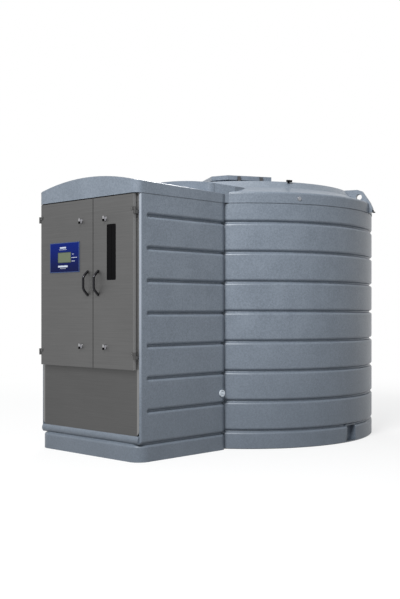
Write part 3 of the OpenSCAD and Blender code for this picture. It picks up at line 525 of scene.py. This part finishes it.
class StudioSettings(bpy.types.PropertyGroup):
    """Floor and lights."""

    key_at: place_prop("Key place", "Place of the large lamp in front of the doors", (2.8, -6.4, 6.6))
    key_size: length_prop("Key size", "Diameter of that lamp", 3.0)
    key_power: power_prop("Key power", "Power of that lamp", 715)
    top_at: place_prop("Top place", "Place of the lamp over the roof", (-1.0, 0.0, 6.8))
    top_size: length_prop("Top size", "Diameter of that lamp", 4.0)
    top_power: power_prop("Top power", "Power of that lamp", 60)
    rear_at: place_prop("Rear place", "Place of the lamp behind the tank", (-6.0, 5.5, 4.2))
    rear_size: length_prop("Rear size", "Diameter of that lamp", 4.0)
    rear_power: power_prop("Rear power", "Power of that lamp, which the photo's view hardly sees", 260)
    aim_z: length_prop("Aim height", "Height of the point over the origin that the lamps face", 1.0)
    world_strength: share_prop("World strength", "Even light from all round", 0.3)
    world_tint: colour_prop("World tint", "Colour of that even light", (0.96, 0.98, 1.0))
    floor_size: length_prop("Floor size", "Side of the square floor", 60.0)
    floor_light: colour_prop("Floor, light", "Lighter colour of the lit floor", (0.33, 0.33, 0.33))
    floor_dark: colour_prop("Floor, dark", "Darker colour of the lit floor", (0.30, 0.30, 0.30))
    floor_seen: colour_prop("Floor, seen", "Colour of the floor that the camera sees", (0.95, 0.95, 0.95))
    floor_glow: share_prop("Floor glow", "Share of plain white in the floor beside the tank", 0.72)
    shadow_r: length_prop("Shadow reach", "Distance up to which the floor shows the shadow in full", 2.2)
    white_r: length_prop("White reach", "Distance at which the floor has turned white", 7.0)


# Solids that share a finish

STEEL_FRAME = ("frame_uprights", "frame_rails", "centre_post")
STEEL_DOORS = ("left_door", "right_door")
STEEL_SMALL = ("left_door_hinges", "right_door_hinges", "frame_hinges_left", "frame_hinges_right")
SIDE_WALLS = ("cabinet_wall_right", "cabinet_wall_left")
HANDLES = ("left_handle", "right_handle")
LATCHES = ("upper_left_latch", "lower_left_latch", "upper_right_latch", "lower_right_latch")
RUBBER = ("slot_curtain", "roof_hooks", "roof_knobs")
SINGLE = ("lower_panel", "display_plate", "display_window", "drain_plug", "manway_clips")


def set_finish(names, material):
    """Gives solids of the frame a finish in place of their plain one."""
    for name in names:
        solid = nodes[name]
        solid.data.materials.clear()
        solid.data.materials.append(material)


# Operators


class TANK_OT_finishes(bpy.types.Operator):
    """Gives every solid of the tank its finish"""

    bl_idname = "tank.finishes"
    bl_label = "Finishes"

    def execute(self, context):
        look = context.scene.tank_look
        steel = brushed_steel("door_steel", look.door_steel, look)
        # the lower panel's darker steel is painted shade
        panel = brushed_steel("shaded_panel_steel", look.shaded_panel_steel, look)
        listed = STEEL_FRAME + STEEL_DOORS + STEEL_SMALL + SIDE_WALLS + HANDLES + LATCHES + RUBBER + SINGLE
        moulded = [name for name in nodes if name not in listed]
        set_finish(moulded, tank_plastic("tank_plastic", look))
        set_finish(SIDE_WALLS, tank_plastic("side_wall_plastic", look, lip_highlight=True))
        set_finish(STEEL_FRAME + STEEL_DOORS, steel)
        set_finish(["lower_panel"], panel)
        set_finish(STEEL_SMALL, polished_metal("hinge_steel", look.hinge_steel, roughness=0.4))
        # dark stainless standing in for the shade of the slots beside the lid
        set_finish(["manway_clips"], polished_metal("shaded_clip_steel", look.shaded_clip_steel, roughness=0.35))
        set_finish(LATCHES, polished_metal("latch_chrome", look.latch_chrome, roughness=0.1))
        set_finish(RUBBER, black_rubber("black_rubber", look))
        set_finish(["display_plate"], blue_plate(look))
        set_finish(["display_window"], display_glass(look))
        set_finish(["drain_plug"], plain_plastic("white_plastic", look.plug_white, roughness=0.4))
        return {"FINISHED"}


class TANK_OT_roof_bolts(bpy.types.Operator):
    """Adds the bolt heads on the roof's skirt, one on each side"""

    bl_idname = "tank.roof_bolts"
    bl_label = "Roof bolts"

    def execute(self, context):
        sizes = context.scene.tank_fittings
        look = context.scene.tank_look
        chrome = polished_metal("bolt_chrome", look.bolt_chrome, roughness=0.08)
        steps = [(sizes.washer_r, sizes.washer_thick), (sizes.bolt_r, sizes.bolt_thick)]
        skirt_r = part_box("roof_cover")[1].x
        shape = bmesh.new()
        for side in (1, -1):
            out = Vector((side * math.cos(sizes.bolt_angle), -math.sin(sizes.bolt_angle), 0))
            at = Vector((TANK_CENTRE.x, TANK_CENTRE.y, sizes.bolt_z)) + out * (skirt_r - HIDDEN_FACE)
            add_disc_stack(shape, at, out, steps)
        piece = add_piece("roof_bolts", shape, chrome, "tank")
        shade_smooth(piece)
        return {"FINISHED"}


class TANK_OT_handles(bpy.types.Operator):
    """Gives the doors their bow handles, with legs that slant out from the doors to the grip"""

    bl_idname = "tank.handles"
    bl_label = "Handles"

    def execute(self, context):
        sizes = context.scene.tank_fittings
        look = context.scene.tank_look
        black = polished_metal("black_chrome", look.handle_chrome, roughness=0.22)
        slant = math.pi / 4
        for name, body in (("left_handle", "left_door"), ("right_handle", "right_door")):
            low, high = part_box(name)
            across = (low.x + high.x) / 2
            reach = high.y - low.y - sizes.grip_r
            leg = (reach - sizes.grip_bend * (1 - math.cos(slant))) / math.sin(slant)
            foot_z = high.z - sizes.grip_r
            leg_drop = leg * math.cos(slant) + sizes.grip_bend * math.sin(slant)
            grip = foot_z - low.z - sizes.grip_r - 2 * leg_drop
            shape = bmesh.new()
            outwards = Vector((0, -math.sin(slant), -math.cos(slant)))
            bar = Bar(shape, Vector((across, high.y, foot_z)), outwards, sizes.grip_r)
            bar.straight(leg)
            bar.bend(Vector((1, 0, 0)), slant, sizes.grip_bend)
            bar.straight(grip)
            bar.bend(Vector((1, 0, 0)), slant, sizes.grip_bend)
            bar.straight(leg)
            bar.cap()
            piece = add_piece("bow_" + name, shape, black, body)
            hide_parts(name)
            shade_smooth(piece)
        return {"FINISHED"}


class TANK_OT_latch_caps(bpy.types.Operator):
    """Adds black caps on the lower halves of the latches' wings, partly a dark grip and partly painted shade
    """

    bl_idname = "tank.latch_caps"
    bl_label = "Latch caps"

    def execute(self, context):
        sizes = context.scene.tank_fittings
        black = black_rubber("black_cap_and_shade", context.scene.tank_look)
        for name in LATCHES:
            low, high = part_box(name)
            middle_x = (low.x + high.x) / 2
            middle_z = low.z + sizes.wing_l / 2
            shape = bmesh.new()
            # the black cap is partly a dark grip and partly painted shade on the wing's lower half
            add_block(
                shape,
                (middle_x - sizes.cap_w / 2, low.y - sizes.cap_front, low.z - sizes.cap_lap),
                (middle_x + sizes.cap_w / 2, low.y + sizes.cap_back, middle_z - sizes.cap_gap),
            )
            round_edges(shape, list(shape.edges), sizes.cap_round)
            piece = add_piece(name + "_cap", shape, black, name)
            shade_smooth(piece)
        return {"FINISHED"}


class TANK_OT_hinge_screws(bpy.types.Operator):
    """Adds two screw heads to each hinge leaf"""

    bl_idname = "tank.hinge_screws"
    bl_label = "Hinge screws"

    def execute(self, context):
        sizes = context.scene.tank_fittings
        look = context.scene.tank_look
        steel = polished_metal("screw_steel", look.screw_steel, roughness=0.25)
        head = [(sizes.screw_r, sizes.screw_thick)]
        for side, body in ((-1, "left_door"), (1, "right_door")):
            low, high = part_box(body + "_hinges")
            door_low, door_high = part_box(body)
            door_edge = door_high.x if side > 0 else door_low.x
            leaf_middle = door_edge - side * sizes.leaf_lap / 2
            leaf_front = door_low.y - sizes.leaf_thick + HIDDEN_FACE
            shape = bmesh.new()
            for bottom in (low.z, high.z - sizes.leaf_h):
                for share in SCREW_SHARES:
                    at = Vector((leaf_middle, leaf_front, bottom + sizes.leaf_h * share))
                    add_disc_stack(shape, at, Vector((0, -1, 0)), head, segments=16)
            piece = add_piece(body + "_hinge_screws", shape, steel, body)
            shade_smooth(piece)
        return {"FINISHED"}


class TANK_OT_plate_marks(bpy.types.Operator):
    """Adds plain bars to the display plate, where such a plate has its print"""

    bl_idname = "tank.plate_marks"
    bl_label = "Plate marks"

    def execute(self, context):
        sizes = context.scene.tank_fittings
        look = context.scene.tank_look
        white = plain_plastic("white_print", look.mark_white, roughness=0.35)
        width = PLATE_HIGH.x - PLATE_LOW.x
        height = PLATE_HIGH.z - PLATE_LOW.z
        bars = (  # middle across and up the plate, and size, as shares of it
            (0.45, 0.83, 0.21, 0.050),
            (0.45, 0.765, 0.26, 0.012),
            (0.45, 0.205, 0.33, 0.060),
            (0.45, 0.135, 0.20, 0.012),
            (0.79, 0.60, 0.07, 0.018),
            (0.84, 0.485, 0.19, 0.018),
            (0.80, 0.37, 0.11, 0.018),
        )
        shape = bmesh.new()
        for across, up, wide, tall in bars:
            middle = Vector((PLATE_LOW.x + across * width, PLATE_LOW.y, PLATE_LOW.z + up * height))
            half = Vector((wide * width / 2, 0, tall * height / 2))
            add_block(
                shape,
                middle - half - Vector((0, sizes.mark_thick, 0)),
                middle + half + Vector((0, HIDDEN_FACE, 0)),
            )
        add_piece("plate_marks", shape, white, "left_door")
        return {"FINISHED"}


class TANK_OT_stage(bpy.types.Operator):
    """Adds the floor, the lamps and the camera at the photograph's viewing angle"""

    bl_idname = "tank.stage"
    bl_label = "Stage"

    def execute(self, context):
        studio = context.scene.tank_studio
        self.add_floor(studio)
        self.set_world(context.scene, studio)
        self.add_lamp("key_lamp", studio.key_at, studio.key_size, studio.key_power, studio.aim_z)
        self.add_lamp("top_lamp", studio.top_at, studio.top_size, studio.top_power, studio.aim_z)
        self.add_lamp("rear_lamp", studio.rear_at, studio.rear_size, studio.rear_power, studio.aim_z)
        self.add_camera(context.scene)
        context.scene.view_settings.view_transform = "Standard"
        return {"FINISHED"}

    def add_floor(self, studio):
        """Floor that keeps the tank's shadow and turns plain white away from it."""
        finish = Finish("studio_floor")
        tone = finish.noise(scale=0.4, detail=2)
        lit = finish.mix(tone, tint(studio.floor_dark), tint(studio.floor_light))
        seen = finish.seen()
        shown = finish.mix(seen, lit, tint(studio.floor_seen))
        matt = finish.node("ShaderNodeBsdfDiffuse", None, {"Color": shown})
        white = finish.node("ShaderNodeEmission", None, {"Color": (1, 1, 1, 1), "Strength": 1.0})
        measure = {"operation": "LENGTH"}
        off = finish.node("ShaderNodeVectorMath", measure, {0: finish.place()}, output="Value")
        share = studio.floor_glow + (1 - studio.floor_glow) * off.ramp(studio.shadow_r, studio.white_r)
        both = finish.node("ShaderNodeMixShader", None, {0: seen * share, 1: matt, 2: white})
        finish.node("ShaderNodeOutputMaterial", None, {"Surface": both})
        shape = bmesh.new()
        bmesh.ops.create_grid(shape, x_segments=1, y_segments=1, size=studio.floor_size / 2)
        mesh = bpy.data.meshes.new("floor")
        shape.to_mesh(mesh)
        shape.free()
        mesh.materials.append(finish.material)
        floor = bpy.data.objects.new("floor", mesh)
        bpy.context.scene.collection.objects.link(floor)

    def set_world(self, scene, studio):
        """Even light on the tank, and plain white where the camera sees past it."""
        world = bpy.data.worlds.new("studio_world")
        world.use_nodes = True
        scene.world = world
        sky = Shading(world.node_tree)
        even_inputs = {"Color": tint(studio.world_tint), "Strength": studio.world_strength}
        even = sky.node("ShaderNodeBackground", None, even_inputs)
        white = sky.node("ShaderNodeBackground", None, {"Color": (1, 1, 1, 1)})
        both = sky.node("ShaderNodeMixShader", None, {0: sky.seen(), 1: even, 2: white})
        sky.node("ShaderNodeOutputWorld", None, {"Surface": both})

    def add_lamp(self, name, at, size, power, aim_z):
        """Round lamp that faces a point over the origin."""
        lamp = bpy.data.lights.new(name, "AREA")
        lamp.shape = "DISK"
        lamp.size = size
        lamp.energy = power
        holder = bpy.data.objects.new(name, lamp)
        holder.location = at
        aim = Vector((0, 0, aim_z)) - Vector(at)
        holder.rotation_euler = aim.to_track_quat("-Z", "Y").to_euler()
        bpy.context.scene.collection.objects.link(holder)

    def add_camera(self, scene):
        """Level camera with the photograph's focal length and frame."""
        lens = bpy.data.cameras.new("camera")
        lens.sensor_fit = "HORIZONTAL"
        lens.sensor_width = SENSOR_MM
        lens.lens = FOCAL_PX / PHOTO_W * SENSOR_MM
        lens.shift_x = (PHOTO_W / 2 - AXIS_X_PX) / PHOTO_W
        lens.shift_y = (HORIZON_PX - PHOTO_H / 2) / PHOTO_W
        holder = bpy.data.objects.new("camera", lens)
        holder.location = CAMERA_AT
        holder.rotation_euler = (math.pi / 2, 0, CAMERA_TURN)
        scene.collection.objects.link(holder)
        scene.camera = holder


class TANK_PT_panel(bpy.types.Panel):
    """Lists the tank's finishes, fittings and studio"""

    bl_idname = "TANK_PT_panel"
    bl_label = "Exhaust fluid tank"
    bl_space_type = "VIEW_3D"
    bl_region_type = "UI"
    bl_category = "Tank"

    def draw(self, context):
        scene = context.scene
        for group in (scene.tank_look, scene.tank_fittings, scene.tank_studio):
            box = self.layout.box()
            for name in group.bl_rna.properties.keys():
                if name not in ("rna_type", "name"):
                    box.prop(group, name)
        for operator in OPERATORS:
            self.layout.operator(operator.bl_idname)


OPERATORS = (
    TANK_OT_finishes,
    TANK_OT_roof_bolts,
    TANK_OT_handles,
    TANK_OT_latch_caps,
    TANK_OT_hinge_screws,
    TANK_OT_plate_marks,
    TANK_OT_stage,
)
CLASSES = (TankLook, FittingSizes, StudioSettings, *OPERATORS, TANK_PT_panel)


def register():
    for cls in CLASSES:
        bpy.utils.register_class(cls)
    bpy.types.Scene.tank_look = bpy.props.PointerProperty(type=TankLook)
    bpy.types.Scene.tank_fittings = bpy.props.PointerProperty(type=FittingSizes)
    bpy.types.Scene.tank_studio = bpy.props.PointerProperty(type=StudioSettings)


def unregister():
    del bpy.types.Scene.tank_studio
    del bpy.types.Scene.tank_fittings
    del bpy.types.Scene.tank_look
    for cls in reversed(CLASSES):
        bpy.utils.unregister_class(cls)


def main():
    """Builds everything in order."""
    register()
    bpy.ops.tank.finishes()
    bpy.ops.tank.roof_bolts()
    bpy.ops.tank.handles()
    bpy.ops.tank.latch_caps()
    bpy.ops.tank.hinge_screws()
    bpy.ops.tank.plate_marks()
    bpy.ops.tank.stage()


if __name__ == "__main__":
    main()
